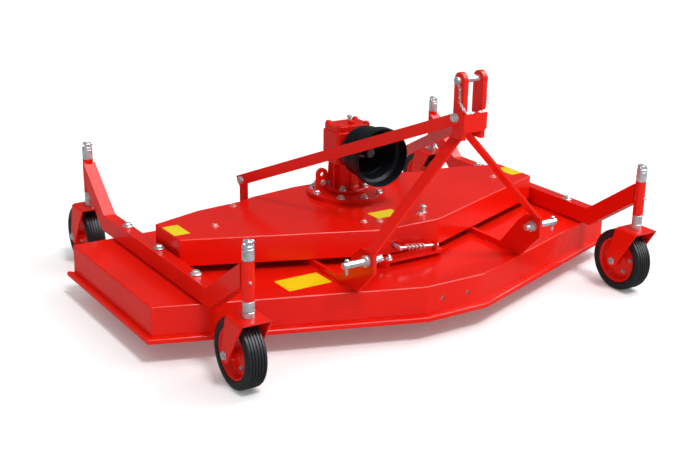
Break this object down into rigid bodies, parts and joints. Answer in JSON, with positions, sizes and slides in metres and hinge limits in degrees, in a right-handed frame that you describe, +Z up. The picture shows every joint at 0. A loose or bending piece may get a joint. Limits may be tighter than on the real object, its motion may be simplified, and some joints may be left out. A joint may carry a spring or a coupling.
{
  "type": "finishing mower",
  "caption": "Finishing mower for a three-point hitch: shallow deck with blades below, belt cover, gearbox with shaft guard, mast, and a castor wheel at each corner.",
  "frame": {"origin": "on the floor, under the middle of the whole mower standing on its castors", "axes": "+X to the right of the towing tractor, +Y to the rear, +Z up; the hitch is at -Y"},
  "size_m": [1.928, 1.439, 0.882],
  "materials": {
    "red_paint": "gloss",
    "zinc_steel": "satin",
    "dark_steel": "satin",
    "tyre_rubber": "satin",
    "black_plastic": "satin"
  },
  "bodies": {
    "mower_frame": {"deck_top_plate": "red_paint", "nose_skirt": "red_paint", "front_skirts": "red_paint", "side_skirts": "red_paint", "rear_skirt": "red_paint", "belt_cover": "red_paint", "cover_posts": "red_paint", "side_beam_left": "red_paint", "side_beam_right": "red_paint", "spindle_tubes": "red_paint", "blade_housings": "red_paint", "hitch_brackets": "red_paint", "hitch_pins": "zinc_steel", "mast_brace_left": "red_paint", "mast_brace_right": "red_paint", "mast_plates": "red_paint", "mast_pin": "zinc_steel", "mast_bracket": "red_paint", "stay_bars": "red_paint", "stay_posts": "red_paint", "gearbox": "red_paint", "shaft_guard": "black_plastic", "tension_lever": "red_paint", "tension_anchor": "red_paint", "tension_rod": "zinc_steel", "tension_spring": "zinc_steel"},
    "castor_front_left": {"castor_fork_front_left": "red_paint", "castor_spindle_front_left": "zinc_steel", "wheel_axle_front_left": "zinc_steel"},
    "wheel_front_left": {"wheel_rim_front_left": "red_paint", "wheel_tyre_front_left": "tyre_rubber"},
    "castor_front_right": {"castor_fork_front_right": "red_paint", "castor_spindle_front_right": "zinc_steel", "wheel_axle_front_right": "zinc_steel"},
    "wheel_front_right": {"wheel_rim_front_right": "red_paint", "wheel_tyre_front_right": "tyre_rubber"},
    "castor_rear_left": {"castor_fork_rear_left": "red_paint", "castor_spindle_rear_left": "zinc_steel", "wheel_axle_rear_left": "zinc_steel"},
    "wheel_rear_left": {"wheel_rim_rear_left": "red_paint", "wheel_tyre_rear_left": "tyre_rubber"},
    "castor_rear_right": {"castor_fork_rear_right": "red_paint", "castor_spindle_rear_right": "zinc_steel", "wheel_axle_rear_right": "zinc_steel"},
    "wheel_rear_right": {"wheel_rim_rear_right": "red_paint", "wheel_tyre_rear_right": "tyre_rubber"},
    "blade_left": {"blade_left": "dark_steel", "pulley_left": "dark_steel"},
    "blade_centre": {"blade_centre": "dark_steel", "pulley_centre": "dark_steel"},
    "blade_right": {"blade_right": "dark_steel", "pulley_right": "dark_steel"},
    "input_shaft": {"input_shaft": "dark_steel"},
    "drive_pulley": {"drive_pulley": "dark_steel"}
  },
  "joints": [
    {"name": "castor_front_left_swivel", "type": "hinge", "parent": "mower_frame", "child": "castor_front_left", "pos_m": [-0.782, -0.6615, 0.35], "axis": [0, 0, 1], "continuous": true},
    {"name": "wheel_front_left_turn", "type": "hinge", "parent": "castor_front_left", "child": "wheel_front_left", "pos_m": [-0.782, -0.6075, 0.112], "axis": [1, 0, 0], "continuous": true},
    {"name": "castor_front_right_swivel", "type": "hinge", "parent": "mower_frame", "child": "castor_front_right", "pos_m": [0.782, -0.6615, 0.35], "axis": [0, 0, 1], "continuous": true},
    {"name": "wheel_front_right_turn", "type": "hinge", "parent": "castor_front_right", "child": "wheel_front_right", "pos_m": [0.782, -0.6075, 0.112], "axis": [1, 0, 0], "continuous": true},
    {"name": "castor_rear_left_swivel", "type": "hinge", "parent": "mower_frame", "child": "castor_rear_left", "pos_m": [-0.782, 0.5535, 0.35], "axis": [0, 0, 1], "continuous": true},
    {"name": "wheel_rear_left_turn", "type": "hinge", "parent": "castor_rear_left", "child": "wheel_rear_left", "pos_m": [-0.782, 0.6075, 0.112], "axis": [1, 0, 0], "continuous": true},
    {"name": "castor_rear_right_swivel", "type": "hinge", "parent": "mower_frame", "child": "castor_rear_right", "pos_m": [0.782, 0.5535, 0.35], "axis": [0, 0, 1], "continuous": true},
    {"name": "wheel_rear_right_turn", "type": "hinge", "parent": "castor_rear_right", "child": "wheel_rear_right", "pos_m": [0.782, 0.6075, 0.112], "axis": [1, 0, 0], "continuous": true},
    {"name": "blade_left_turn", "type": "hinge", "parent": "mower_frame", "child": "blade_left", "pos_m": [-0.592, -0.0095, 0.14], "axis": [0, 0, 1], "continuous": true},
    {"name": "blade_centre_turn", "type": "hinge", "parent": "mower_frame", "child": "blade_centre", "pos_m": [0, -0.2795, 0.14], "axis": [0, 0, 1], "continuous": true},
    {"name": "blade_right_turn", "type": "hinge", "parent": "mower_frame", "child": "blade_right", "pos_m": [0.592, -0.0095, 0.14], "axis": [0, 0, 1], "continuous": true},
    {"name": "input_shaft_turn", "type": "hinge", "parent": "mower_frame", "child": "input_shaft", "pos_m": [0, -0.1, 0.495], "axis": [0, -1, 0], "continuous": true},
    {"name": "drive_pulley_turn", "type": "hinge", "parent": "mower_frame", "child": "drive_pulley", "pos_m": [0, 0.032, 0.25], "axis": [0, 0, 1], "continuous": true}
  ],
  "couplings": [
    {"joint": "blade_left_turn", "follows": "blade_centre_turn", "ratio": 1},
    {"joint": "blade_right_turn", "follows": "blade_centre_turn", "ratio": 1},
    {"joint": "input_shaft_turn", "follows": "blade_centre_turn", "ratio": 0.1818},
    {"joint": "drive_pulley_turn", "follows": "blade_centre_turn", "ratio": 0.6818}
  ]
}
